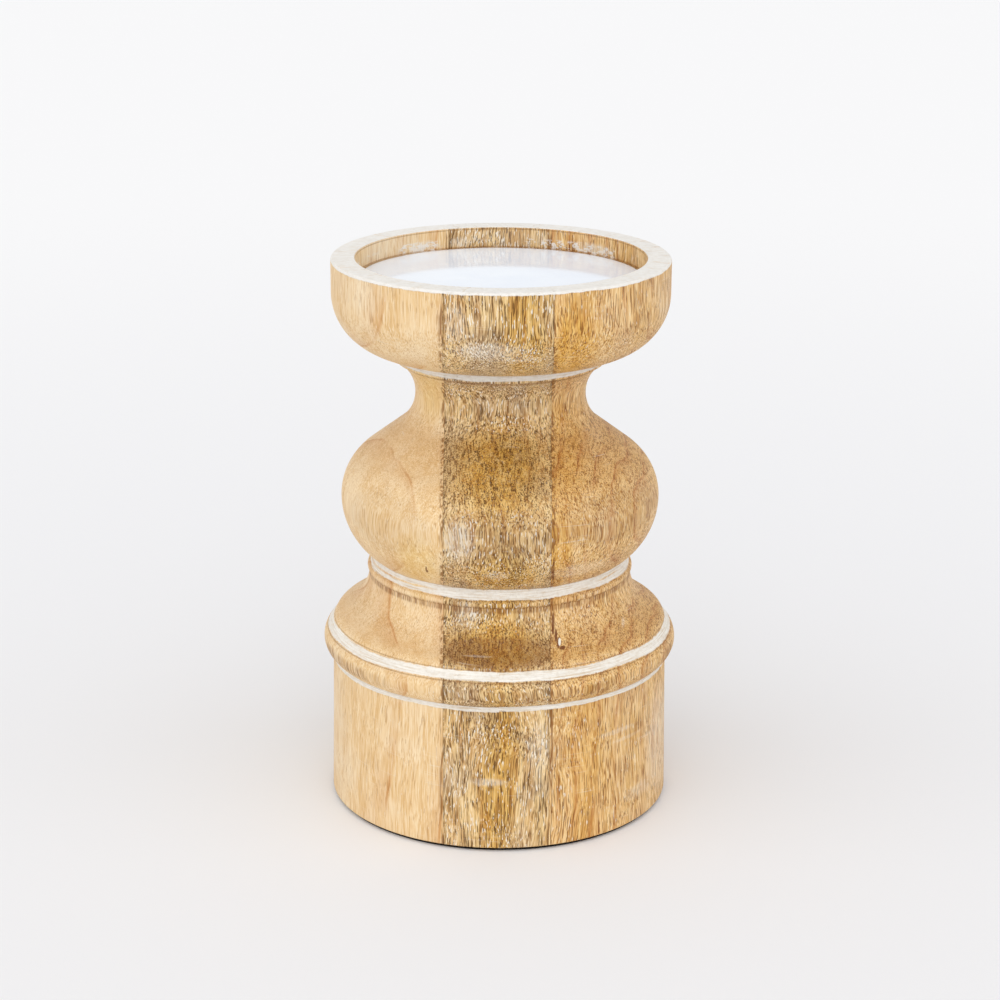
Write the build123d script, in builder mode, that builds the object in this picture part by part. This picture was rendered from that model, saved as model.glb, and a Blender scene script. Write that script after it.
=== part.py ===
from build123d import *

import os
from math import cos, radians, sin, tan

# Turned wooden candlestick for one three-inch pillar candle.
#
# Three upright boards are glued side by side into one blank, and the blank is turned
# on a lathe.  A white enamelled plate lies in the recess of the cup, and a thin black
# pad is glued under the foot.  Sizes are in millimetres, Z is the turning axis, and
# the origin is the centre of the footprint, on the surface that the object stands on.

# Pad under the foot
pad_thickness = 1.0
pad_inset = 1.2  # how far the pad stays inside the foot

# Foot: a plain drum with a slight taper, and a fine V groove above it
foot_radius = 49.1
foot_edge_radius = 0.6
drum_top_radius = 48.45
drum_height = 41.0
groove_width = 1.4
groove_depth = 0.7

# Torus: the fat roll above the groove, ending in a narrow bevelled ring
torus_foot_radius = 48.6
torus_radius = 51.05
torus_height = 7.65
ring_foot_radius = 49.95
ring_top_radius = 48.05
ring_height = 2.5

# Shoulder: a small round step above the ring
shoulder_top_radius = 45.6
shoulder_height = 2.7
shoulder_bulge = 0.45  # swell above the straight line between its ends

# Cove: the hollow that climbs from the shoulder to the bead
cove_height = 11.85
cove_depth = 2.1  # hollow below the straight line between its ends

# Bead: a small half round, with a plain band on top of it
bead_foot_radius = 37.75
bead_radius = 38.25
bead_top_radius = 37.4
bead_height = 2.4
band_radius = 36.55
band_height = 2.8

# Bulb, and the ogee from the bulb to the waist
bulb_radius = 45.55
bulb_lower_height = 17.05  # from the band to the widest place
ogee_height = 30.3  # from the widest place of the bulb to the waist
flank_lean = 53.0  # degrees between the axis and the straight flank of the ogee
waist_radius = 24.2
waist_cove_radius = 11.6
waist_flare = 56.0  # degrees that the cove turns on above the waist

# Listel: a small upright fillet under the cup
listel_step = 0.45
listel_height = 3.2

# Cup
cup_radius = 47.7
cup_swell_height = 16.25  # round underside, from the listel to the upright wall
cup_wall_height = 9.8
rim_outer_edge_radius = 0.8
rim_inner_chamfer = 0.3

# Recess for a three-inch candle, and the plate let into its floor
recess_radius = 40.85
plate_below_rim = 6.0
plate_ledge = 0.5  # wood around the plate, level with its top
plate_side_clearance = 0.3
plate_thickness = 0.9
plate_edge_radius = 0.3

# The middle one of the three boards that the blank is glued from
middle_board_width = 29.6
middle_board_offset = -0.7  # its centre plane, off the turning axis

# Heights of the stages above the table
foot_z = pad_thickness
drum_top_z = foot_z + drum_height
torus_foot_z = drum_top_z + groove_width
ring_foot_z = torus_foot_z + torus_height
ring_top_z = ring_foot_z + ring_height
shoulder_top_z = ring_top_z + shoulder_height
bead_foot_z = shoulder_top_z + cove_height
bead_top_z = bead_foot_z + bead_height
band_top_z = bead_top_z + band_height
bulb_z = band_top_z + bulb_lower_height
waist_z = bulb_z + ogee_height
listel_foot_z = waist_z + waist_cove_radius * sin(radians(waist_flare))
listel_top_z = listel_foot_z + listel_height
cup_wall_z = listel_top_z + cup_swell_height
rim_z = cup_wall_z + cup_wall_height
plate_top_z = rim_z - plate_below_rim
plate_seat_z = plate_top_z - plate_thickness
plate_seat_radius = recess_radius - plate_ledge

listel_foot_radius = waist_radius + waist_cove_radius * (1 - cos(radians(waist_flare)))
listel_radius = listel_foot_radius + listel_step

# The ogee is an arc off the bulb, a straight flank and the waist cove, all tangent.
# Each arc runs along its upright and its flank by its tangent length.
ogee_depth = bulb_radius - waist_radius
half_lean_tangent = tan(radians(flank_lean) / 2)
tangent_lengths = ogee_height - ogee_depth / tan(radians(flank_lean))
waist_tangent_length = waist_cove_radius * half_lean_tangent
shoulder_radius = (tangent_lengths - waist_tangent_length) / half_lean_tangent
flank_length = ogee_depth / sin(radians(flank_lean)) - tangent_lengths

# Seams between the boards
left_seam = Plane.YZ.offset(middle_board_offset - middle_board_width / 2)
right_seam = Plane.YZ.offset(middle_board_offset + middle_board_width / 2)


# Half section of the turned blank, from the axis outwards
with BuildSketch(Plane.XZ) as blank_section:
    with BuildLine():
        # drum
        FilletPolyline(
            (0, foot_z),
            (foot_radius, foot_z),
            (drum_top_radius, drum_top_z),
            radius=foot_edge_radius,
        )
        # V groove
        Polyline(
            (drum_top_radius, drum_top_z),
            (drum_top_radius - groove_depth, drum_top_z + groove_width / 2),
            (torus_foot_radius, torus_foot_z),
        )
        # torus, and the ring on it
        ThreePointArc(
            (torus_foot_radius, torus_foot_z),
            (torus_radius, (torus_foot_z + ring_foot_z) / 2),
            (ring_foot_radius, ring_foot_z),
        )
        Line((ring_foot_radius, ring_foot_z), (ring_top_radius, ring_top_z))
        # shoulder
        SagittaArc(
            (ring_top_radius, ring_top_z),
            (shoulder_top_radius, shoulder_top_z),
            -shoulder_bulge,
        )
        # cove
        SagittaArc(
            (shoulder_top_radius, shoulder_top_z),
            (bead_foot_radius, bead_foot_z),
            cove_depth,
        )
        # bead, and the band on it
        ThreePointArc(
            (bead_foot_radius, bead_foot_z),
            (bead_radius, (bead_foot_z + bead_top_z) / 2),
            (bead_top_radius, bead_top_z),
        )
        Line((bead_top_radius, bead_top_z), (band_radius, band_top_z))
        # bulb, up to its widest place
        TangentArc((bulb_radius, bulb_z), (band_radius, band_top_z), tangent=(0, -1))
        # ogee
        shoulder = JernArc(
            start=(bulb_radius, bulb_z),
            tangent=(0, 1),
            radius=shoulder_radius,
            arc_size=flank_lean,
        )
        flank = PolarLine(shoulder @ 1, length=flank_length, direction=shoulder % 1)
        waist = JernArc(
            start=flank @ 1,
            tangent=flank % 1,
            radius=waist_cove_radius,
            arc_size=-(flank_lean + waist_flare),
        )
        # listel
        Polyline(
            waist @ 1,
            (listel_radius, listel_foot_z),
            (listel_radius, listel_top_z),
        )
        # cup: round underside, wall, rim, recess and the seat of the plate
        TangentArc((cup_radius, cup_wall_z), (listel_radius, listel_top_z), tangent=(0, -1))
        rim_edge = FilletPolyline(
            (cup_radius, cup_wall_z),
            (cup_radius, rim_z),
            (recess_radius + rim_inner_chamfer, rim_z),
            radius=rim_outer_edge_radius,
        )
        Polyline(
            rim_edge @ 1,
            (recess_radius, rim_z - rim_inner_chamfer),
            (recess_radius, plate_top_z),
            (plate_seat_radius, plate_top_z),
            (plate_seat_radius, plate_seat_z),
            (0, plate_seat_z),
            (0, foot_z),
        )
    make_face()

# Left board
with BuildPart() as board_left:
    revolve(blank_section.sketch, axis=Axis.Z)
    split(bisect_by=left_seam, keep=Keep.BOTTOM)

# Middle board
with BuildPart() as board_middle:
    revolve(blank_section.sketch, axis=Axis.Z)
    split(bisect_by=left_seam, keep=Keep.TOP)
    split(bisect_by=right_seam, keep=Keep.BOTTOM)

# Right board
with BuildPart() as board_right:
    revolve(blank_section.sketch, axis=Axis.Z)
    split(bisect_by=right_seam, keep=Keep.TOP)

# Plate under the candle, with eased upper edge
with BuildPart() as candle_plate:
    with BuildSketch(Plane.XY.offset(plate_seat_z)):
        Circle(plate_seat_radius - plate_side_clearance)
    extrude(amount=plate_thickness)
    fillet(candle_plate.faces().sort_by(Axis.Z)[-1].edges(), plate_edge_radius)

# Pad under the foot
with BuildPart() as base_pad:
    with BuildSketch():
        Circle(foot_radius - pad_inset)
    extrude(amount=pad_thickness)

board_left.part.label = "board_left"
board_middle.part.label = "board_middle"
board_right.part.label = "board_right"
candle_plate.part.label = "candle_plate"
base_pad.part.label = "base_pad"

os.makedirs("parts", exist_ok=True)
for piece in (board_left, board_middle, board_right, candle_plate, base_pad):
    export_step(piece.part, f"parts/{piece.part.label}.step")
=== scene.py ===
import math

import bmesh
import bpy
from mathutils import Matrix, Vector


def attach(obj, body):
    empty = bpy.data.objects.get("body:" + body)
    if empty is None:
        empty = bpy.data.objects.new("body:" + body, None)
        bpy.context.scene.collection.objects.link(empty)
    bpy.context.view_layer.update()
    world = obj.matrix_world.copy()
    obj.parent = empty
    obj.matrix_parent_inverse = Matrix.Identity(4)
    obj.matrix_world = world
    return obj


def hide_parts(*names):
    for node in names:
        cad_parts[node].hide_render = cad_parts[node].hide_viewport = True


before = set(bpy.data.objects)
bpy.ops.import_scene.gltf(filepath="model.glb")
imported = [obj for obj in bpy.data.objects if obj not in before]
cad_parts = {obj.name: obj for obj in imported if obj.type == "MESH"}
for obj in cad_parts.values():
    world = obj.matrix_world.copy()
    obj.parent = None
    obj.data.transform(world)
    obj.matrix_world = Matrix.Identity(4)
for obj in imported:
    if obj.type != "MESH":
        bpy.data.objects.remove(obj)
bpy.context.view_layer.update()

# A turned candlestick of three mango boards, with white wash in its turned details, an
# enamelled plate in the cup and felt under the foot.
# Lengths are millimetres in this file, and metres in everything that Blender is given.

# Turned outline, radius and height of each detail, from the foot upwards
pad_thickness = 1.0
pad_inset = 1.2
foot_radius = 49.1
foot_edge_radius = 0.6
drum_top_radius = 48.45
drum_top_z = 42.0
groove_radius = 48.1  # the V groove of the CAD part, 0.35 shallower where wash fills it
torus_foot_radius = 48.6
torus_foot_z = 43.4
torus_radius = 51.045
ring_foot_radius = 49.95
ring_foot_z = 51.05
ring_top_radius = 48.05
ring_top_z = 53.55
shoulder_top_radius = 45.6
shoulder_top_z = 56.25
shoulder_bulge = 0.45
cove_depth = 2.1
bead_foot_radius = 37.75
bead_foot_z = 68.1
bead_radius = 38.25
bead_top_radius = 37.4
bead_top_z = 70.5
band_radius = 36.55
band_top_z = 73.3
bulb_radius = 45.55
bulb_z = 90.35
waist_radius = 24.2
waist_z = 120.65
waist_cove_radius = 11.6
flank_lean = math.radians(53)
waist_flare = math.radians(56)
listel_step = 0.45
listel_height = 3.2
cup_radius = 47.7
cup_wall_z = 149.72
rim_z = 159.516
rim_outer_round = 0.8
rim_inner_round = 0.3
recess_radius = 40.85
plate_seat_radius = 40.35
plate_seat_z = 152.62
plate_radius = 40.05
plate_top_z = 153.52
left_seam_x = -15.5
right_seam_x = 14.1
corner_ease = 0.22
wrap_radius = 42.0  # typical radius, at which patterns that go round are in true millimetres
blank_divisions = 240
disc_divisions = 180

ogee_shoulder_radius = (
    (waist_z - bulb_z - (bulb_radius - waist_radius) / math.tan(flank_lean))
    / math.tan(flank_lean / 2)
    - waist_cove_radius
)
listel_foot_radius = waist_radius + waist_cove_radius * (1 - math.cos(waist_flare))
listel_foot_z = waist_z + waist_cove_radius * math.sin(waist_flare)
listel_radius = listel_foot_radius + listel_step
listel_top_z = listel_foot_z + listel_height


# Colours that all three boards share
rubbed_wash_white = "#EFE6D6"
filler_white = "#F4EEE2"
# brown of dirt and of painted shade in the creases
grime_and_shade_brown = "#7E4A14"
# brown of stain and of broad painted shade
stain_and_shade_brown = "#6A3410"


# Small tools

def colour(code):
    """Linear colour, with alpha, of an sRGB hex code."""
    parts = [int(code[i:i + 2], 16) / 255 for i in (1, 3, 5)]
    linear = [p / 12.92 if p <= 0.04045 else ((p + 0.055) / 1.055) ** 2.4 for p in parts]
    return (*linear, 1.0)


def add(tree, kind, settings=None, sockets=None):
    """Adds a node. A socket, by name or number, takes a plain value, a node or a node's output."""
    node = tree.nodes.new(kind)
    for name, value in (settings or {}).items():
        setattr(node, name, value)
    for name, value in (sockets or {}).items():
        if isinstance(value, bpy.types.Node):
            value = value.outputs[0]
        if isinstance(value, bpy.types.NodeSocket):
            tree.links.new(value, node.inputs[name])
        else:
            node.inputs[name].default_value = value
    return node


def new_finish(name):
    """An empty material, its node tree and its surface shader."""
    material = bpy.data.materials.new(name)
    material.use_nodes = True
    tree = material.node_tree
    return material, tree, tree.nodes["Principled BSDF"]


def show(piece, cad_node):
    """The piece stands for the CAD node and rides on the one body."""
    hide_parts(cad_node)
    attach(piece, "root")


# Outline of the blank

def arc_through(start, middle, end, steps):
    """Points after start on the arc that runs through middle to end."""
    start, middle, end = Vector(start), Vector(middle), Vector(end)
    a, b = middle - start, end - start
    cross = a.x * b.y - a.y * b.x
    aside = b.y * a.length_squared - a.y * b.length_squared
    ahead = a.x * b.length_squared - b.x * a.length_squared
    centre = start + Vector((aside, ahead)) / (2 * cross)
    spoke = start - centre
    first = math.atan2(spoke.y, spoke.x)
    last = math.atan2(end.y - centre.y, end.x - centre.x)
    turn = (last - first) % math.tau if cross > 0 else -((first - last) % math.tau)
    return [tuple(centre + Matrix.Rotation(turn * i / steps, 2) @ spoke) for i in range(1, steps + 1)]


def swell(start, end, bulge, steps):
    """Points after start on the arc to end, which swells by bulge to the right of the way there."""
    way = Vector(end) - Vector(start)
    side = Vector((way.y, -way.x)).normalized()
    return arc_through(start, (Vector(start) + Vector(end)) / 2 + side * bulge, end, steps)


def upright_arc(centre, radius, start_angle, end_angle, steps):
    """Points after the first on an arc whose angles are measured from the outward radius."""
    angles = [start_angle + (end_angle - start_angle) * i / steps for i in range(1, steps + 1)]
    return [(centre[0] + radius * math.cos(a), centre[1] + radius * math.sin(a)) for a in angles]


def belly(widest_radius, widest_z, foot_point, steps):
    """Arc from foot_point up to the widest place, where it stands upright."""
    across = widest_radius - foot_point[0]
    up = widest_z - foot_point[1]
    radius = (across ** 2 + up ** 2) / (2 * across)
    start_angle = -math.asin(up / radius) if up < radius else -math.pi / 2
    if across > radius:
        start_angle = -math.pi + math.asin(up / radius)
    return upright_arc((widest_radius - radius, widest_z), radius, start_angle, 0, steps)


def straight(start, end, steps):
    """Points after start on the straight line to end."""
    return [tuple(Vector(start).lerp(Vector(end), i / steps)) for i in range(1, steps + 1)]


def ease(points, corners, size):
    """Softens the given corners of the outline with a small round, as sanding and paint do."""
    eased = []
    for i, point in enumerate(points):
        if point not in corners or not 0 < i < len(points) - 1:
            eased.append(point)
            continue
        here = Vector(point)
        before = Vector(points[i - 1]) - here
        after = Vector(points[i + 1]) - here
        reach = min(size, before.length * 0.45, after.length * 0.45)
        first = here + before.normalized() * reach
        last = here + after.normalized() * reach
        for t in (0, 0.25, 0.5, 0.75, 1):
            eased.append(tuple(first.lerp(here, t).lerp(here.lerp(last, t), t)))
    return eased


def foot_and_rings():
    """Outline from the middle of the foot to the top of the band, and its eased corners."""
    foot_z = pad_thickness
    foot_corner = (foot_radius - foot_edge_radius, foot_z)
    drum_foot = (foot_radius, foot_z + foot_edge_radius)
    drum_top = (drum_top_radius, drum_top_z)
    groove = (groove_radius, (drum_top_z + torus_foot_z) / 2)
    torus_foot = (torus_foot_radius, torus_foot_z)
    torus_middle = (torus_radius, (torus_foot_z + ring_foot_z) / 2)
    ring_foot = (ring_foot_radius, ring_foot_z)
    ring_top = (ring_top_radius, ring_top_z)
    shoulder_top = (shoulder_top_radius, shoulder_top_z)
    bead_foot = (bead_foot_radius, bead_foot_z)
    bead_middle = (bead_radius, (bead_foot_z + bead_top_z) / 2)
    bead_top = (bead_top_radius, bead_top_z)
    points = [(0, foot_z)]
    points += straight((0, foot_z), foot_corner, 12)
    points += upright_arc((foot_corner[0], drum_foot[1]), foot_edge_radius, -math.pi / 2, 0, 6)
    points += straight(drum_foot, drum_top, 24)
    points += [groove, torus_foot]
    points += arc_through(torus_foot, torus_middle, ring_foot, 22)
    points += straight(ring_foot, ring_top, 4)
    points += swell(ring_top, shoulder_top, shoulder_bulge, 6)
    points += swell(shoulder_top, bead_foot, -cove_depth, 22)
    points += arc_through(bead_foot, bead_middle, bead_top, 10)
    points += straight(bead_top, (band_radius, band_top_z), 5)
    return points, [groove, torus_foot]


def bulb_and_waist():
    """Outline from the top of the band to the top of the listel, and its eased corners."""
    listel_foot = (listel_foot_radius, listel_foot_z)
    listel_edge = (listel_radius, listel_foot_z)
    bulb_centre = (bulb_radius - ogee_shoulder_radius, bulb_z)
    waist_centre = (waist_radius + waist_cove_radius, waist_z)
    waist_start = math.pi + flank_lean
    first_of_waist = (
        waist_centre[0] + waist_cove_radius * math.cos(waist_start),
        waist_centre[1] + waist_cove_radius * math.sin(waist_start),
    )
    points = belly(bulb_radius, bulb_z, (band_radius, band_top_z), 30)
    points += upright_arc(bulb_centre, ogee_shoulder_radius, 0, flank_lean, 40)
    points += straight(points[-1], first_of_waist, 10)
    points += upright_arc(waist_centre, waist_cove_radius, waist_start, math.pi, 30)
    points += upright_arc(waist_centre, waist_cove_radius, math.pi, math.pi - waist_flare, 20)
    points += [listel_edge]
    points += straight(listel_edge, (listel_radius, listel_top_z), 5)
    return points, [listel_foot, listel_edge]


def cup_and_recess():
    """Outline from the top of the listel to the middle of the seat, and its eased corner."""
    rim_corner = (cup_radius - rim_outer_round, rim_z - rim_outer_round)
    recess_top = (recess_radius, rim_z - rim_inner_round)
    points = belly(cup_radius, cup_wall_z, (listel_radius, listel_top_z), 36)
    points += straight((cup_radius, cup_wall_z), (cup_radius, rim_corner[1]), 8)
    points += upright_arc(rim_corner, rim_outer_round, 0, math.pi / 2, 8)
    points += straight((rim_corner[0], rim_z), (recess_radius + rim_inner_round, rim_z), 5)
    points += [recess_top]
    points += straight(recess_top, (recess_radius, plate_top_z), 8)
    points += [(plate_seat_radius, plate_top_z), (plate_seat_radius, plate_seat_z)]
    points += straight((plate_seat_radius, plate_seat_z), (0, plate_seat_z), 8)
    return points, [recess_top]


def blank_outline():
    """Half outline of the glued blank, from the middle of the foot to the middle of the seat."""
    points, corners = [], []
    for stretch in (foot_and_rings, bulb_and_waist, cup_and_recess):
        more_points, more_corners = stretch()
        points += more_points
        corners += more_corners
    return ease(points, corners, corner_ease)


def plate_outline():
    """Half outline of the enamelled plate: flat, with a rolled upper edge."""
    round_off = 0.3
    edge = (plate_radius, plate_top_z - round_off)
    points = [(0, plate_seat_z)]
    points += straight((0, plate_seat_z), (plate_radius, plate_seat_z), 20)
    points += straight((plate_radius, plate_seat_z), edge, 3)
    points += upright_arc((plate_radius - round_off, edge[1]), round_off, 0, math.pi / 2, 8)
    points += straight((plate_radius - round_off, plate_top_z), (0, plate_top_z), 24)
    return points


def pad_outline():
    """Half outline of the felt pad: soft at both edges."""
    radius = foot_radius - pad_inset
    soft = 0.25
    points = [(0, 0)]
    points += straight((0, 0), (radius - soft, 0), 20)
    points += upright_arc((radius - soft, soft), soft, -math.pi / 2, 0, 5)
    points += straight((radius, soft), (radius, pad_thickness - soft), 3)
    points += upright_arc((radius - soft, pad_thickness - soft), soft, 0, math.pi / 2, 5)
    points += straight((radius - soft, pad_thickness), (0, pad_thickness), 20)
    return points


# Lathe

def build_lathe():
    """Tree that turns a half outline about the Z axis, as a lathe does."""
    tree = bpy.data.node_groups.new("lathe", "GeometryNodeTree")
    sockets = {}
    for name, kind in (
        ("Outline", "NodeSocketGeometry"),
        ("Divisions", "NodeSocketInt"),
        ("Weld Distance", "NodeSocketFloat"),
        ("Finish", "NodeSocketMaterial"),
    ):
        made = tree.interface.new_socket(name=name, in_out="INPUT", socket_type=kind)
        sockets[name] = made.identifier
    tree.interface.new_socket(name="Turned", in_out="OUTPUT", socket_type="NodeSocketGeometry")
    given = add(tree, "NodeGroupInput")
    size = add(tree, "GeometryNodeAttributeDomainSize", {"component": "MESH"},
               {0: given.outputs["Outline"]})
    columns = add(tree, "ShaderNodeMath", {"operation": "ADD"},
                  {0: given.outputs["Divisions"], 1: 1.0})
    grid = add(tree, "GeometryNodeMeshGrid", None, {
        "Vertices X": columns,
        "Vertices Y": size.outputs["Point Count"],
    })
    index = add(tree, "GeometryNodeInputIndex")
    row = add(tree, "ShaderNodeMath", {"operation": "MODULO"},
              {0: index, 1: size.outputs["Point Count"]})
    along = add(tree, "ShaderNodeMath", {"operation": "DIVIDE"},
                {0: index, 1: size.outputs["Point Count"]})
    column = add(tree, "ShaderNodeMath", {"operation": "FLOOR"}, {0: along})
    share = add(tree, "ShaderNodeMath", {"operation": "DIVIDE"},
                {0: column, 1: given.outputs["Divisions"]})
    angle = add(tree, "ShaderNodeMath", {"operation": "MULTIPLY"}, {0: share, 1: math.tau})
    place = add(tree, "GeometryNodeInputPosition")
    outline_point = add(tree, "GeometryNodeSampleIndex", {"data_type": "FLOAT_VECTOR"}, {
        "Geometry": given.outputs["Outline"],
        "Value": place,
        "Index": row,
    })
    turned = add(tree, "ShaderNodeVectorRotate", {"rotation_type": "Z_AXIS"}, {
        "Vector": outline_point,
        "Angle": angle,
    })
    skin = add(tree, "GeometryNodeSetPosition", None, {
        "Geometry": grid.outputs["Mesh"],
        "Position": turned,
    })
    welded = add(tree, "GeometryNodeMergeByDistance", None, {
        "Geometry": skin,
        "Distance": given.outputs["Weld Distance"],
    })
    realized = add(tree, "GeometryNodeRealizeInstances", None, {"Geometry": welded})
    finished = add(tree, "GeometryNodeSetMaterial", None, {
        "Geometry": realized,
        "Material": given.outputs["Finish"],
    })
    add(tree, "NodeGroupOutput", None, {"Turned": finished})
    return tree, sockets


lathe, lathe_sockets = build_lathe()


def turn(outline, divisions, finish):
    """Plain closed mesh of an outline, in metres, turned on the lathe."""
    mesh = bpy.data.meshes.new("outline")
    points = [(r / 1000, 0, z / 1000) for r, z in outline]
    mesh.from_pydata(points, [(i, i + 1) for i in range(len(points) - 1)], [])
    stock = bpy.data.objects.new("stock", mesh)
    bpy.context.scene.collection.objects.link(stock)
    modifier = stock.modifiers.new("lathe", "NODES")
    modifier.node_group = lathe
    modifier[lathe_sockets["Divisions"]] = divisions
    modifier[lathe_sockets["Weld Distance"]] = 0.000001
    modifier[lathe_sockets["Finish"]] = finish
    bpy.context.view_layer.update()
    ready = stock.evaluated_get(bpy.context.evaluated_depsgraph_get())
    result = bpy.data.meshes.new_from_object(ready)
    stock.modifiers.remove(modifier)
    bpy.data.objects.remove(stock)
    return result


def piece_from(work, name, finish, crease):
    """Finished object from a bmesh: doubles merged, faces outward, smooth but for its creases."""
    bmesh.ops.remove_doubles(work, verts=work.verts, dist=0.0000005)
    bmesh.ops.dissolve_degenerate(work, edges=work.edges, dist=0.0000005)
    bmesh.ops.recalc_face_normals(work, faces=work.faces)
    mesh = bpy.data.meshes.new(name)
    work.to_mesh(mesh)
    work.free()
    mesh.materials.clear()
    mesh.materials.append(finish)
    mesh.polygons.foreach_set("use_smooth", [True] * len(mesh.polygons))
    mesh.set_sharp_from_angle(angle=math.radians(crease))
    piece = bpy.data.objects.new(name, mesh)
    bpy.context.scene.collection.objects.link(piece)
    return piece


def saw(work, x, keep_right):
    """Cuts the blank along an upright plane and closes the sawn face."""
    cut = bmesh.ops.bisect_plane(
        work,
        geom=work.verts[:] + work.edges[:] + work.faces[:],
        dist=0.0000002,
        plane_co=(x / 1000, 0, 0),
        plane_no=(1, 0, 0),
        clear_inner=keep_right,
        clear_outer=not keep_right,
    )
    edges = [e for e in cut["geom_cut"] if isinstance(e, bmesh.types.BMEdge)]
    bmesh.ops.triangle_fill(work, use_beauty=True, use_dissolve=False, edges=edges)


def board(blank, name, finish, from_x=None, to_x=None):
    """One board of the turned blank, between two seams."""
    work = bmesh.new()
    work.from_mesh(blank)
    bmesh.ops.recalc_face_normals(work, faces=work.faces)
    if from_x is not None:
        saw(work, from_x, True)
    if to_x is not None:
        saw(work, to_x, False)
    return piece_from(work, name, finish, 35)


def whole(mesh, name, finish, crease):
    """A turned piece that isn't sawn."""
    work = bmesh.new()
    work.from_mesh(mesh)
    return piece_from(work, name, finish, crease)


# Patterns, in millimetres

def in_millimetres(tree):
    """The place on the object in millimetres, and its three parts."""
    coordinates = add(tree, "ShaderNodeTexCoord")
    place = add(tree, "ShaderNodeVectorMath", {"operation": "SCALE"},
                {0: coordinates.outputs["Object"], "Scale": 1000.0})
    return place, add(tree, "ShaderNodeSeparateXYZ", None, {0: place})


def grains(tree, place, size, shift=(0, 0, 0), detail=2.0, roughness=0.55):
    """Random field whose grains have the given size along each axis."""
    spread = add(tree, "ShaderNodeMapping", None, {
        "Vector": place,
        "Location": shift,
        "Scale": [1 / s for s in size],
    })
    return add(tree, "ShaderNodeTexNoise", None, {
        "Vector": spread,
        "Scale": 1.0,
        "Detail": detail,
        "Roughness": roughness,
    })


def rise(tree, value, low, high, to_low=0.0, to_high=1.0):
    """Smooth step of a value, from to_low at low to to_high at high."""
    return add(tree, "ShaderNodeMapRange", {"interpolation_type": "SMOOTHSTEP"}, {
        "Value": value,
        "From Min": low,
        "From Max": high,
        "To Min": to_low,
        "To Max": to_high,
    })


def zone(tree, value, low, high, soft):
    """1 where the value lies between low and high, falling to 0 over soft on each side."""
    above = rise(tree, value, low - soft, low + soft)
    below = rise(tree, value, high - soft, high + soft, 1.0, 0.0)
    return add(tree, "ShaderNodeMath", {"operation": "MULTIPLY"}, {0: above, 1: below})


def stronger(tree, *masks):
    """The highest of several masks."""
    total = masks[0]
    for mask in masks[1:]:
        total = add(tree, "ShaderNodeMath", {"operation": "MAXIMUM"}, {0: total, 1: mask})
    return total


def both(tree, *masks):
    """The product of several masks or amounts."""
    total = masks[0]
    for mask in masks[1:]:
        total = add(tree, "ShaderNodeMath", {"operation": "MULTIPLY"}, {0: total, 1: mask})
    return total


def tint(tree, base, over, *masks, blend="MIX"):
    """Lays a colour over another where all the masks hold."""
    return add(tree, "ShaderNodeMix", {"data_type": "RGBA", "blend_type": blend}, {
        0: both(tree, *masks),
        6: base,
        7: over,
    }).outputs[2]


def around(tree, parts):
    """Coordinates wrapped round the axis: way round in millimetres, radius and height."""
    angle = add(tree, "ShaderNodeMath", {"operation": "ARCTAN2"},
                {0: parts.outputs["X"], 1: parts.outputs["Y"]})
    flat = add(tree, "ShaderNodeCombineXYZ", None, {0: parts.outputs["X"], 1: parts.outputs["Y"]})
    radius = add(tree, "ShaderNodeVectorMath", {"operation": "LENGTH"}, {0: flat})
    length = add(tree, "ShaderNodeMath", {"operation": "MULTIPLY"}, {0: angle, 1: wrap_radius})
    wrapped = add(tree, "ShaderNodeCombineXYZ", None, {
        0: length,
        1: radius.outputs["Value"],
        2: parts.outputs["Z"],
    })
    return wrapped, radius.outputs["Value"]


def wash_cover(tree, parts, wrapped, radius):
    """Where the white wash was brushed into the turned details and over the rim."""
    slow = grains(tree, wrapped, (14.0, 20.0, 9.0), (3, 7, 1), 1.0)
    brush = grains(tree, wrapped, (1.6, 9.0, 0.8), (6, 2, 4), 3.0, 0.65)
    uneven = add(tree, "ShaderNodeMath", {"operation": "MULTIPLY_ADD"}, {0: brush, 1: 0.8, 2: slow})
    lift = rise(tree, uneven, 0.45, 1.35, -0.28, 0.28)
    height = add(tree, "ShaderNodeMath", {"operation": "ADD"},
                 {0: parts.outputs["Z"], 1: lift})
    rim = both(tree, rise(tree, height, rim_z - 0.85, rim_z - 0.6),
               rise(tree, radius, recess_radius + 0.05, recess_radius + 0.25))
    listel = zone(tree, height, listel_foot_z + 0.55, listel_top_z - 0.45, 0.16)
    band = zone(tree, height, bead_top_z + 0.02, band_top_z + 0.1, 0.14)
    ring = zone(tree, height, ring_foot_z + 0.15, ring_top_z - 0.12, 0.16)
    groove = zone(tree, height, drum_top_z - 0.05, torus_foot_z + 0.05, 0.14)
    gap = both(tree, zone(tree, height, 71.65, 72.1, 0.25),
               zone(tree, parts.outputs["X"], -36.5, -20.0, 4.0))
    scraped = both(tree, zone(tree, height, 71.9, 72.2, 0.2),
                   zone(tree, parts.outputs["X"], 28.0, 33.0, 1.5))
    bared = add(tree, "ShaderNodeMath", {"operation": "SUBTRACT", "use_clamp": True},
                {0: band, 1: stronger(tree, gap, scraped)})
    smudge = grains(tree, wrapped, (1.8, 9.0, 1.0), (4, 6, 8), 3.0, 0.65)
    where = grains(tree, wrapped, (13.0, 60.0, 40.0), (9, 5, 7), 1.0)
    smears = both(tree, zone(tree, height, plate_top_z, plate_top_z + 2.6, 0.5),
                  rise(tree, radius, recess_radius + 0.1, recess_radius + 0.3, 1.0, 0.0),
                  rise(tree, smudge, 0.47, 0.56), rise(tree, where, 0.44, 0.54), 0.8)
    cover = stronger(tree, rim, listel, bared, ring, groove, smears)
    bare = grains(tree, wrapped, (2.6, 9.0, 0.45), (1, 4, 9), 3.0, 0.7)
    worn = rise(tree, bare, 0.58, 0.74, 1.0, 0.6)
    return both(tree, cover, worn)


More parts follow.
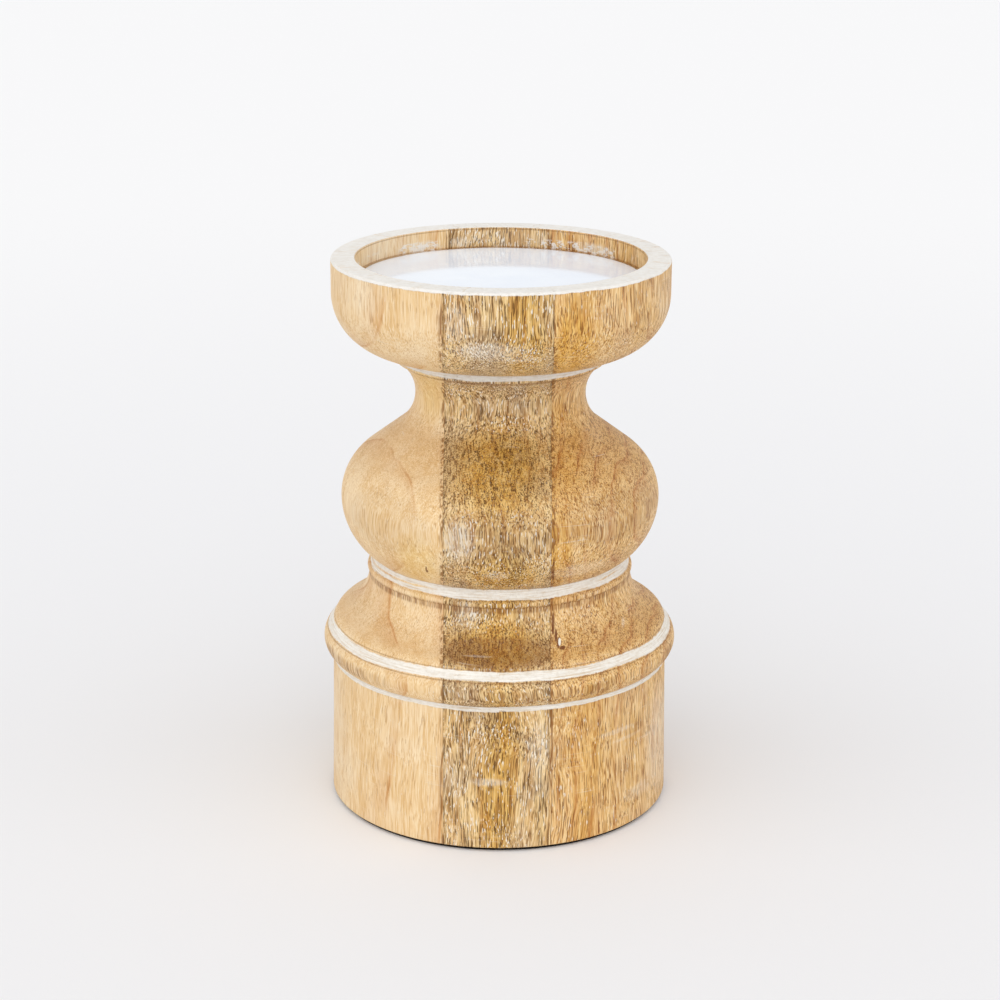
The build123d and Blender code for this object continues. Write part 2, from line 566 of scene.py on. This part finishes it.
def grime_and_crease_shade(tree, parts, wrapped, radius):
    """Brown dirt and painted crease shade along the arrises and under the bead and the listel, broken
    into short upright dashes.
    """
    dashes = grains(tree, wrapped, (0.42, 9.0, 5.0), (11, 2, 5), 2.0)
    broken = rise(tree, dashes, 0.38, 0.62, 0.15, 1.0)
    patches = grains(tree, wrapped, (9.0, 9.0, 30.0), (2, 8, 3), 1.0)
    here_and_there = rise(tree, patches, 0.4, 0.62)
    height = parts.outputs["Z"]
    # these lines under the bead and the listel, and at the ring, the groove, the mouth and the plate,
    # are painted shade in the creases mixed with brown dirt
    under_bead = zone(tree, height, bead_foot_z - 1.3, bead_foot_z + 0.7, 0.4)
    on_torus = both(tree, zone(tree, height, torus_foot_z + 1.6, torus_foot_z + 5.2, 0.9),
                    here_and_there)
    over_ring = zone(tree, height, ring_top_z + 0.05, ring_top_z + 0.35, 0.12)
    under_ring = zone(tree, height, ring_foot_z - 0.3, ring_foot_z, 0.12)
    under_listel = zone(tree, height, listel_foot_z - 0.9, listel_foot_z + 0.05, 0.2)
    over_listel = zone(tree, height, listel_top_z - 0.3, listel_top_z + 0.5, 0.25)
    at_groove = zone(tree, height, torus_foot_z - 0.1, torus_foot_z + 0.3, 0.12)
    over_band = zone(tree, height, band_top_z + 0.15, band_top_z + 0.45, 0.12)
    in_cup = rise(tree, radius, recess_radius + 0.1, recess_radius + 0.3, 1.0, 0.0)
    at_mouth = both(tree, zone(tree, height, rim_z - 0.75, rim_z - 0.4, 0.12), in_cup)
    # painted shadow line in the gap between the plate and the recess wall
    at_plate = both(tree, zone(tree, height, plate_top_z - 0.2, plate_top_z + 0.3, 0.15), in_cup)
    arrises = stronger(tree, over_ring, under_ring, over_listel, at_groove, over_band,
                       at_mouth, at_plate)
    lines = stronger(tree, under_bead, under_listel, on_torus)
    return stronger(tree, both(tree, lines, broken), both(tree, arrises, 0.6))


def blot(tree, place, centre, size, edge=0.35):
    """1 inside an egg-shaped patch of the given half sizes, fading outwards."""
    offset = add(tree, "ShaderNodeVectorMath", {"operation": "SUBTRACT"}, {0: place, 1: centre})
    scaled = add(tree, "ShaderNodeVectorMath", {"operation": "DIVIDE"}, {0: offset, 1: size})
    distance = add(tree, "ShaderNodeVectorMath", {"operation": "LENGTH"}, {0: scaled})
    return rise(tree, distance.outputs["Value"], edge, 1.0, 1.0, 0.0)


def blots(tree, place, patches, edge=0.35):
    """The strongest of several patches, each a centre, its half sizes and a strength."""
    masks = [both(tree, blot(tree, place, centre, size, edge), strength)
             for centre, size, strength in patches]
    return stronger(tree, *masks)


def swayed(tree, place, sway, shift):
    """Grain coordinates: fibres wander slowly over the blank, and quiver a little as they go."""
    slow = grains(tree, place, (30, 30, 38), shift, 1.0)
    quick = grains(tree, place, (7, 7, 13), [s + 4 for s in shift], 1.0)
    moved = place
    for field, amount in ((slow, sway), (quick, 1.5)):
        centred = add(tree, "ShaderNodeVectorMath", {"operation": "SUBTRACT"},
                      {0: field.outputs["Color"], 1: (0.5, 0.5, 0.5)})
        drift = add(tree, "ShaderNodeVectorMath", {"operation": "MULTIPLY"},
                    {0: centred, 1: (amount, amount, 0)})
        moved = add(tree, "ShaderNodeVectorMath", {"operation": "ADD"}, {0: moved, 1: drift})
    return moved


def growth_lines(tree, grain, place, tones):
    """Thin brown lines of late wood where growth rings cross the turned surface."""
    across = add(tree, "ShaderNodeVectorMath", {"operation": "DOT_PRODUCT"},
                 {0: grain, 1: tones["ring_way"]})
    uneven = grains(tree, place, (11, 11, 60), (4, 2, 8), 1.0)
    drifted = add(tree, "ShaderNodeMath", {"operation": "MULTIPLY_ADD"},
                  {0: uneven, 1: tones["ring_drift"], 2: across.outputs["Value"]})
    years = add(tree, "ShaderNodeMath", {"operation": "MULTIPLY_ADD"}, {
        0: drifted,
        1: 1 / tones["ring_width"],
        2: 0.5 - tones["ring_at"] / tones["ring_width"],
    })
    year = add(tree, "ShaderNodeMath", {"operation": "FRACT"}, {0: years})
    thin = 0.3 / tones["ring_width"]
    line = zone(tree, year, 0.5 - thin, 0.5 + thin, thin * 0.9)
    shade = both(tree, rise(tree, year, 0.1, 0.5), rise(tree, year, 0.5, 0.56, 1.0, 0.0), 0.45)
    strength = rise(tree, grains(tree, place, (16, 16, 22), (5, 5, 9), 1.0), 0.38, 0.6, 0.05, 1.0)
    return both(tree, stronger(tree, line, shade), strength)


def end_grain(tree):
    """Share of end grain in the surface: faces that look up drink more wax."""
    coordinates = add(tree, "ShaderNodeTexCoord")
    parts = add(tree, "ShaderNodeSeparateXYZ", None, {0: coordinates.outputs["Normal"]})
    return rise(tree, parts.outputs["Z"], 0.25, 0.85)


def sanding_scratches(tree, wrapped, shift):
    """Fine pale scratches round the turning, a little off level, in patches."""
    level = add(tree, "ShaderNodeVectorRotate", {"rotation_type": "Y_AXIS"},
                {"Vector": wrapped, "Angle": math.radians(3.5)})
    field = grains(tree, level, (26, 40, 0.3), shift, 3.0, 0.7)
    patch = grains(tree, wrapped, (8, 30, 6), [s + 3 for s in shift], 1.0)
    return both(tree, rise(tree, field, 0.6, 0.7), rise(tree, patch, 0.5, 0.66))


def bare_wood(tree, grain, place, tones, shift):
    """Colour of the fibres, and the fields of fibre bundles and of single fibres."""
    # Bundles of fibres 2 mm wide, in wood that clouds over from place to place
    bundles = grains(tree, grain, (1.9, 1.9, 45), shift, 3.0, 0.6)
    clouds = grains(tree, place, (12, 12, 15), shift, 3.0)
    base = tint(tree, colour(tones["pale"]), colour(tones["deep"]), rise(tree, bundles, 0.36, 0.64))
    base = tint(tree, base, colour(tones["cloud"]), rise(tree, clouds, 0.46, 0.66),
                tones["clouding"])

    # Single fibres, pale and dark, drawn about 0.3 mm wide so that they show
    width = tones["fibre_width"]
    fibres = grains(tree, grain, (width, width, 8.0), shift, 2.0, 0.6)
    base = tint(tree, base, colour(tones["strand"]), rise(tree, fibres, 0.5, 0.34),
                tones["stranding"])
    base = tint(tree, base, colour(tones["fibre"]), rise(tree, fibres, 0.5, 0.66),
                tones["fibring"])
    return base, bundles, fibres


def open_pores(tree, grain, place, tones, shift):
    """Open pores, 0.3 mm wide and 3 to 7 mm long, denser in some patches."""
    field = grains(tree, grain, (0.34, 0.34, 5.6), [s + 7 for s in shift], 1.5, 0.5)
    patches = grains(tree, place, (5, 5, 14), [s + 5 for s in shift], 1.0)
    crowded = add(tree, "ShaderNodeMath", {"operation": "MULTIPLY_ADD"},
                  {0: patches, 1: 0.2, 2: field})
    return rise(tree, crowded, tones["pore_edge"], tones["pore_edge"] + 0.06)


def cut_pores(tree, base, grain, tones, shift):
    """Colours the slopes, where the same pores are cut across.

    They are drawn 0.45 mm wide so that they show, in short strokes along the rays.
    """
    dots = grains(tree, grain, (0.45, 1.9, 3.2), [s + 12 for s in shift], 2.0, 0.6)
    sloping = both(tree, rise(tree, end_grain(tree), 0.0, 0.5), tones["dotting"])
    base = tint(tree, base, colour(tones["strand"]), rise(tree, dots, 0.5, 0.4), sloping, 0.7)
    return tint(tree, base, colour(tones["pore"]), rise(tree, dots, 0.56, 0.64), sloping)


def deepened(tree, base, grain, place, bundles, tones):
    """Colour deepened by the heart's stain, by one patch of painted shade on the cove, the thirst of
    end grain and the late wood.
    """
    heart_and_shade = blots(tree, grain, tones["heart_and_shade_blots"])
    bundled = rise(tree, bundles, 0.3, 0.6, 0.55, 1.0)
    late_wood = growth_lines(tree, grain, place, tones)
    # the heart tint also paints shade in the foot of the middle board's cove
    base = tint(tree, base, colour(tones["heart_and_shade"]), heart_and_shade, bundled, blend="MULTIPLY")
    base = tint(tree, base, colour(tones["end"]), end_grain(tree), blend="MULTIPLY")
    return tint(tree, base, colour(tones["ring"]), late_wood, tones["ringing"], blend="MULTIPLY")


def wash_left(tree, grain, place, wrapped, fibres, tones, shift):
    """White wash left in some pores, in sanding scratches and in rubbed patches."""
    filled = grains(tree, grain, (0.36, 0.36, 2.4), [s + 9 for s in shift], 1.5)
    patches = grains(tree, place, (7, 7, 10), [s + 2 for s in shift], 2.0)
    rubbed = blots(tree, place, tones["rubs"])
    denser = add(tree, "ShaderNodeMath", {"operation": "MULTIPLY_ADD"},
                 {0: rubbed, 1: 0.35, 2: patches})
    crowded = add(tree, "ShaderNodeMath", {"operation": "MULTIPLY_ADD"},
                  {0: denser, 1: 0.26, 2: filled})
    side_grain = rise(tree, end_grain(tree), 0.0, 0.5, 1.0, 0.15)
    filler = rise(tree, crowded, tones["fill_edge"], tones["fill_edge"] + 0.05)
    scratches = sanding_scratches(tree, wrapped, shift)
    return stronger(
        tree,
        both(tree, side_grain, filler, tones["filling"]),
        both(tree, scratches, tones["scratching"]),
        both(tree, rubbed, rise(tree, fibres, 0.7, 0.4, 0.12, 0.5)),
    )


def seam_stain(tree, place, parts):
    """Dark glue lines, and stain soaked into the fibres beside them."""
    off_left = add(tree, "ShaderNodeMath", {"operation": "SUBTRACT"},
                   {0: parts.outputs["X"], 1: left_seam_x})
    off_right = add(tree, "ShaderNodeMath", {"operation": "SUBTRACT"},
                    {0: parts.outputs["X"], 1: right_seam_x})
    glue = stronger(tree, zone(tree, off_left, -0.08, 0.08, 0.1),
                    zone(tree, off_right, -0.08, 0.08, 0.1))
    soaked = stronger(tree, zone(tree, off_left, -0.9, 0.5, 0.5),
                      zone(tree, off_right, -0.3, 0.9, 0.5))
    streaks = grains(tree, place, (0.8, 0.8, 9.0), (6, 1, 2), 2.0)
    stained = both(tree, soaked, rise(tree, streaks, 0.45, 0.57))
    return stronger(tree, both(tree, glue, 0.55), both(tree, stained, 0.85))


def wash_paint(tree, place, parts, wrapped):
    """Colour of the white wash: thin in places, brushed in fine lines, plainer on the rim."""
    thin = rise(tree, grains(tree, place, (1.4, 1.4, 0.8), (9, 1, 7), 3.0), 0.35, 0.7)
    paint = tint(tree, colour("#EDE8DF"), colour("#E3DBCE"), thin)
    brushed = grains(tree, wrapped, (11, 30, 0.3), (8, 3, 5), 3.0, 0.65)
    paint = tint(tree, paint, colour("#C9AC84"), rise(tree, brushed, 0.54, 0.68), 0.6)
    paint = tint(tree, paint, colour("#F8F4EC"), rise(tree, brushed, 0.46, 0.36), 0.7)
    rim_paint = tint(tree, colour("#EEEBE6"), colour("#E8E3DB"), thin)
    return tint(tree, paint, rim_paint, rise(tree, parts.outputs["Z"], 150, 155))


def wood_relief(tree, pores, fibres, wash):
    """Fine relief: pores are sunk, fibres raised, wash lies on top."""
    sunk = add(tree, "ShaderNodeMath", {"operation": "MULTIPLY_ADD"},
               {0: pores, 1: -0.8, 2: fibres})
    height = add(tree, "ShaderNodeMath", {"operation": "MULTIPLY_ADD"},
                 {0: wash, 1: 0.8, 2: sunk})
    return add(tree, "ShaderNodeBump", None, {
        "Strength": 0.6,
        "Distance": 0.00015,
        "Height": height,
    })


def mango_board(name, tones, shift):
    """Mango wood, rip-sawn, glued, turned and sanded, under a thin wax.

    Straight fibres with short open pores along them give fine upright strokes on the
    sides and dots on the flat faces; growth rings cross the turned shape as slow lines.
    Waxed wood is satin, its pores and the wash are duller.
    """
    material, tree, surface = new_finish(name)
    place, parts = in_millimetres(tree)
    wrapped, radius = around(tree, parts)
    grain = swayed(tree, place, tones["sway"], shift)
    base, bundles, fibres = bare_wood(tree, grain, place, tones, shift)
    pores = open_pores(tree, grain, place, tones, shift)
    base = tint(tree, base, colour(tones["pore"]), pores, tones["poring"])
    base = cut_pores(tree, base, grain, tones, shift)
    base = deepened(tree, base, grain, place, bundles, tones)
    left_over = wash_left(tree, grain, place, wrapped, fibres, tones, shift)
    base = tint(tree, base, colour(rubbed_wash_white), left_over)
    base = tint(tree, base, colour(tones["seam"]), seam_stain(tree, place, parts))
    # brown dirt with painted shade in the creases and along the arrises
    base = tint(tree, base, colour(grime_and_shade_brown), grime_and_crease_shade(tree, parts, wrapped, radius), 0.72)
    # stain of faults and cracks, and broad painted shade on the cove and the widest of the bulb
    base = tint(tree, base, colour(stain_and_shade_brown), blots(tree, place, tones["stains_and_shade"], 0.7))
    if tones["plugs"]:
        base = tint(tree, base, colour(filler_white), blots(tree, place, tones["plugs"], 0.75))
    wash = wash_cover(tree, parts, wrapped, radius)
    base = tint(tree, base, wash_paint(tree, place, parts, wrapped), wash)
    satin = rise(tree, stronger(tree, pores, wash), 0.0, 1.0, 0.52, 0.7)
    relief = wood_relief(tree, pores, fibres, wash)
    tree.links.new(base, surface.inputs["Base Color"])
    tree.links.new(satin.outputs[0], surface.inputs["Roughness"])
    tree.links.new(relief.outputs[0], surface.inputs["Normal"])
    surface.inputs["IOR"].default_value = 1.5
    surface.inputs["Specular IOR Level"].default_value = 0.3
    return material


def vitreous_enamel():
    """White vitreous enamel, fired on sheet steel: glossy, faintly blue, with a soft orange peel."""
    material, tree, surface = new_finish("vitreous_enamel_fired_white")
    place, parts = in_millimetres(tree)
    _, radius = around(tree, parts)
    clouds = grains(tree, place, (18, 18, 18), (4, 1, 2), 2.0)
    base = tint(tree, colour("#F1F7FF"), colour("#EAF1FC"), rise(tree, clouds, 0.3, 0.7))
    dust = grains(tree, place, (0.5, 0.5, 0.5), (2, 2, 2), 2.0)
    base = tint(tree, base, colour("#C9C4BC"), rise(tree, dust, 0.74, 0.8), 0.35)
    # darker grey over the outer 0.6 mm of the plate: painted shade of the gap against the recess wall
    edge = rise(tree, radius, plate_radius - 0.6, plate_radius)
    base = tint(tree, base, colour("#B9B3AA"), edge, 0.5)
    tree.links.new(base, surface.inputs["Base Color"])
    surface.inputs["Roughness"].default_value = 0.08
    surface.inputs["IOR"].default_value = 1.52
    surface.inputs["Specular IOR Level"].default_value = 0.35
    peel = grains(tree, place, (2.4, 2.4, 2.4), (7, 3, 1), 1.0)
    bump = add(tree, "ShaderNodeBump", None, {
        "Strength": 0.15,
        "Distance": 0.00002,
        "Height": peel,
    })
    tree.links.new(bump.outputs[0], surface.inputs["Normal"])
    return material


def black_felt():
    """Black needled wool felt: matte, brownish where its fibres catch light."""
    material, tree, surface = new_finish("wool_felt_needled_black")
    place, _ = in_millimetres(tree)
    fuzz = grains(tree, place, (0.45, 0.45, 0.45), (1, 6, 3), 4.0, 0.7)
    mat = grains(tree, place, (3.5, 3.5, 3.5), (8, 2, 4), 2.0)
    base = tint(tree, colour("#0F0A08"), colour("#2B1E16"), rise(tree, fuzz, 0.42, 0.75))
    base = tint(tree, base, colour("#120C09"), rise(tree, mat, 0.4, 0.7), 0.4)
    tree.links.new(base, surface.inputs["Base Color"])
    surface.inputs["Roughness"].default_value = 0.95
    surface.inputs["IOR"].default_value = 1.5
    surface.inputs["Specular IOR Level"].default_value = 0.1
    surface.inputs["Sheen Weight"].default_value = 0.12
    surface.inputs["Sheen Roughness"].default_value = 0.5
    bump = add(tree, "ShaderNodeBump", None, {
        "Strength": 0.8,
        "Distance": 0.0002,
        "Height": fuzz,
    })
    tree.links.new(bump.outputs[0], surface.inputs["Normal"])
    return material


# Tones of the boards. Words in -ing are strengths, an edge is the level above which pores or
# their filler begin, and ring_way, ring_width and ring_at place the growth rings. Each patch
# is its centre, its half sizes and its strength: heart wood, rubbed-on wash, stain or filler;
# the broad stain patches and one heart patch are painted shade on the cove and on the bulb.

# Pale straight-grained board, with one cathedral line on the bulb
sapwood = mango_board("mango_sapwood_turned_waxed", {
    "pale": "#EDCE9E",
    "deep": "#E3BE88",
    "heart_and_shade": "#FFF8CC",
    "heart_and_shade_blots": [((-22, -32, 80), (9, 30, 14), 0.6), ((-20, -20, 126), (8, 30, 14), 0.7)],
    "cloud": "#F2DAB4",
    "clouding": 0.6,
    "ring": "#DDB88C",
    "ringing": 0.8,
    "ring_drift": 0.0,
    "ring_way": (0.94, 0.336, -0.09),
    "ring_width": 12.0,
    "ring_at": -43.4,
    "end": "#F3EEE7",
    "strand": "#F8E4C2",
    "stranding": 0.6,
    "fibre_width": 0.3,
    "fibre": "#CC9C5C",
    "fibring": 0.46,
    "pore": "#B07C42",
    "poring": 0.5,
    "pore_edge": 0.74,
    "dotting": 0.16,
    "fill_edge": 0.84,
    "filling": 0.5,
    "scratching": 0.35,
    "rubs": [((-40, -25, 155), (14, 20, 9), 0.35), ((-47, -12, 20), (8, 20, 22), 0.4),
             ((-24, 32, 155.0), (9, 14, 2.4), 0.9), ((-30, 24, 156.5), (16, 18, 6), 0.5)],
    "seam": "#8A5A22",
    "stains_and_shade": [((-20.2, -37.5, 79.6), (0.26, 3, 1.3), 0.8),
               ((-19.9, -37.5, 78.9), (0.34, 3, 0.6), 0.8),
               # broad painted shade on the widest of the bulb
               ((-32, -32, 91), (17, 24, 10), 0.1)],
    "plugs": [],
    "sway": 5.0,
}, (3, 5, 2))

# Dark open-pored board with an ochre heart and washed-out grey sides
heartwood = mango_board("mango_heartwood_turned_waxed", {
    "pale": "#EBCA90",
    "deep": "#D0A468",
    "heart_and_shade": "#EEDA94",
    "heart_and_shade_blots": [((6, -40, 150), (9, 40, 22), 0.9), ((0, -28, 104), (17, 34, 20), 1.0),
                    ((1, -44, 76), (13, 30, 20), 0.9), ((-1, -40, 59), (17, 40, 10), 1.0),
                    # painted shade in the foot of the cove
                    ((0, -42, 57), (15, 30, 4.5), 1.0),
                    ((0, -45, 20), (8, 30, 48), 0.95), ((0, 40, 80), (9, 34, 100), 0.7),
                    ((1, 41, 156), (14, 9, 9), 0.5)],
    "cloud": "#B69A78",
    "clouding": 0.75,
    "ring": "#B8935C",
    "ringing": 0.45,
    "ring_drift": 9.0,
    "ring_way": (0.98, 0.16, 0.03),
    "ring_width": 4.6,
    "ring_at": 1.0,
    "end": "#EEE6D4",
    "strand": "#F2D8AC",
    "stranding": 0.95,
    "fibre_width": 0.34,
    "fibre": "#855A22",
    "fibring": 0.74,
    "pore": "#5A3A12",
    "poring": 0.8,
    "pore_edge": 0.66,
    "dotting": 0.7,
    "fill_edge": 0.755,
    "filling": 0.9,
    "scratching": 0.42,
    "rubs": [((-3, -45, 143.5), (13, 12, 3.4), 0.7), ((-11, -43, 90), (6, 12, 8), 0.7),
             ((-1, -45, 79.5), (5, 12, 2.0), 0.45), ((-3, -48, 21), (7, 6, 1.6), 0.9),
             ((-9, -40, 66), (5, 20, 5), 0.4), ((11, -47, 30), (4, 12, 12), 0.5),
             ((-12, 39, 155.2), (5, 5, 2.2), 0.9), ((1, 40, 156), (17, 8, 4.5), 0.4),
             ((-12, -47, 151), (4, 12, 7), 0.5),
             ((-6, -45, 56.7), (5.5, 12, 0.25), 1.0), ((-9, -43, 91.8), (5, 12, 0.4), 1.0),
             ((4, -46, 141), (10, 12, 1.2), 0.5)],
    "seam": "#5E3E16",
    # both patches are painted shade: in the foot of the cove and on the widest of the bulb
    "stains_and_shade": [((0, -42, 57.2), (20, 30, 4.0), 0.4), ((0, -46, 92), (24, 16, 7.5), 0.17)],
    "plugs": [],
    "sway": 8.0,
}, (17, 11, 6))

# Tan board with reddish strokes, and a small filled crack beside its seam
tan_wood = mango_board("mango_tan_turned_waxed", {
    "pale": "#EBC388",
    "deep": "#DAAD68",
    "heart_and_shade": "#F6E4A6",
    "heart_and_shade_blots": [((19, -42, 144), (9, 30, 18), 1.0), ((17, -28, 112), (9, 34, 26), 0.6),
                    ((15, -42, 84), (6, 30, 22), 0.9), ((24, -42, 20), (7, 24, 46), 0.6)],
    "cloud": "#D6AE7E",
    "clouding": 0.6,
    "ring": "#CC9A64",
    "ringing": 0.6,
    "ring_drift": 7.0,
    "ring_way": (-0.98, 0.14, 0.035),
    "ring_width": 5.4,
    "ring_at": -28.0,
    "end": "#EFE5D0",
    "strand": "#F6DAA8",
    "stranding": 0.85,
    "fibre_width": 0.33,
    "fibre": "#A66C2C",
    "fibring": 0.74,
    "pore": "#7C4A1A",
    "poring": 0.74,
    "pore_edge": 0.68,
    "dotting": 0.55,
    "fill_edge": 0.80,
    "filling": 0.65,
    "scratching": 0.42,
    "rubs": [((46, -14, 20), (9, 18, 22), 0.7), ((33, -35, 31), (9, 12, 1.0), 0.6),
             ((36, -32, 28), (7, 12, 0.8), 0.5), ((40, -28, 10), (8, 12, 3.0), 0.5),
             ((34, -28, 74), (7, 12, 1.6), 0.5), ((28, -14, 116), (5, 12, 8), 0.4),
             ((27, 30, 155.2), (9, 10, 2.2), 0.9), ((44, -14, 152), (6, 14, 9), 0.35),
             ((35, -24, 59), (0.7, 8, 1.3), 0.9), ((20, -40, 89), (6, 12, 0.3), 0.7),
             ((22, -38, 79), (14, 14, 3.5), 0.45)],
    "seam": "#7C4A18",
    "stains_and_shade": [((14.9, -37, 63.6), (0.5, 6, 3.4), 0.8), ((15.7, -39, 60.4), (0.45, 6, 1.9), 0.9),
               ((16.4, -40, 58.8), (0.5, 6, 1.4), 0.9), ((17.5, -41, 57.6), (1.0, 6, 0.45), 0.9),
               # stain along the crack, then broad painted shade on the widest of the bulb
               ((14.7, -42, 79), (0.4, 8, 6.5), 0.7), ((32, -32, 93), (24, 30, 8), 0.18)],
    "plugs": [((16.7, -40, 58.9), (0.45, 6, 1.0), 0.95)],
    "sway": 7.0,
}, (31, 23, 14))

enamel = vitreous_enamel()
felt = black_felt()

blank = turn(blank_outline(), blank_divisions, sapwood)
left = board(blank, "turned_board_left", sapwood, to_x=left_seam_x)
middle = board(blank, "turned_board_middle", heartwood, left_seam_x, right_seam_x)
right = board(blank, "turned_board_right", tan_wood, from_x=right_seam_x)
plate = whole(turn(plate_outline(), disc_divisions, enamel), "enamelled_plate", enamel, 50)
pad = whole(turn(pad_outline(), disc_divisions, felt), "felt_pad", felt, 50)

show(left, "board_left")
show(middle, "board_middle")
show(right, "board_right")
show(plate, "candle_plate")
show(pad, "base_pad")


# Floor, light and camera

def paper_sweep():
    """White background paper, uncoated and matte, with painted light: its colour grows a little
    brighter far away.
    """
    material, tree, surface = new_finish("background_paper_matte_white")
    place, _ = in_millimetres(tree)
    distance = add(tree, "ShaderNodeVectorMath", {"operation": "LENGTH"}, {0: place})
    # painted light: the paper's colour brightens from 0.15 m to 1 m away
    far = rise(tree, distance.outputs["Value"], 150, 1000)
    tree.links.new(tint(tree, colour("#EFEFF1"), colour("#F6F6F7"), far),
                   surface.inputs["Base Color"])
    surface.inputs["Roughness"].default_value = 1.0
    surface.inputs["Specular IOR Level"].default_value = 0.0
    return material


def lay_floor():
    """Wide round sheet of paper that the object stands on."""
    mesh = bpy.data.meshes.new("floor")
    work = bmesh.new()
    bmesh.ops.create_circle(work, cap_ends=True, cap_tris=True, segments=64, radius=6.0)
    work.to_mesh(mesh)
    work.free()
    mesh.materials.append(paper_sweep())
    floor = bpy.data.objects.new("floor", mesh)
    bpy.context.scene.collection.objects.link(floor)


def hang_softbox(name, strength, azimuth, elevation, spread):
    """Soft light from far away: azimuth is counted from the front towards the right."""
    lamp = bpy.data.lights.new(name, "SUN")
    lamp.energy = strength
    lamp.angle = math.radians(spread)
    softbox = bpy.data.objects.new(name, lamp)
    turned = Matrix.Rotation(math.radians(azimuth), 4, "Z")
    tipped = Matrix.Rotation(math.radians(90 - elevation), 4, "X")
    softbox.matrix_world = turned @ tipped
    bpy.context.scene.collection.objects.link(softbox)


def light_room():
    """Even white room: it lights softly, and shows as pale paper to the eye and in gloss."""
    world = bpy.data.worlds.new("room")
    bpy.context.scene.world = world
    world.use_nodes = True
    tree = world.node_tree
    background = tree.nodes["Background"]
    path = add(tree, "ShaderNodeLightPath")
    seen = add(tree, "ShaderNodeMath", {"operation": "ADD", "use_clamp": True},
               {0: path.outputs["Is Camera Ray"], 1: path.outputs["Is Glossy Ray"]})
    seen = add(tree, "ShaderNodeMath", {"operation": "ADD", "use_clamp": True},
               {0: seen, 1: path.outputs["Is Transmission Ray"]})
    level = rise(tree, seen, 0.0, 1.0, 0.7, 0.95)
    tree.links.new(level.outputs[0], background.inputs["Strength"])
    background.inputs["Color"].default_value = (1, 1, 1, 1)


def set_camera():
    """Long lens a little above the cup, looking down at the object."""
    lens = bpy.data.cameras.new("camera")
    lens.lens = 90.5
    lens.sensor_width = 36
    camera = bpy.data.objects.new("camera", lens)
    pitch = Matrix.Rotation(math.pi / 2 - 0.305, 4, "X")
    roll = Matrix.Rotation(math.radians(0.277), 4, "Z")
    camera.matrix_world = Matrix.Translation((0, -0.6909, 0.3054)) @ pitch @ roll
    bpy.context.scene.collection.objects.link(camera)
    bpy.context.scene.camera = camera


lay_floor()
hang_softbox("key_softbox", 0.97, -38, 34, 95)
hang_softbox("fill_softbox", 0.8, 38, 34, 95)
light_room()
set_camera()
bpy.context.scene.view_settings.view_transform = "Standard"
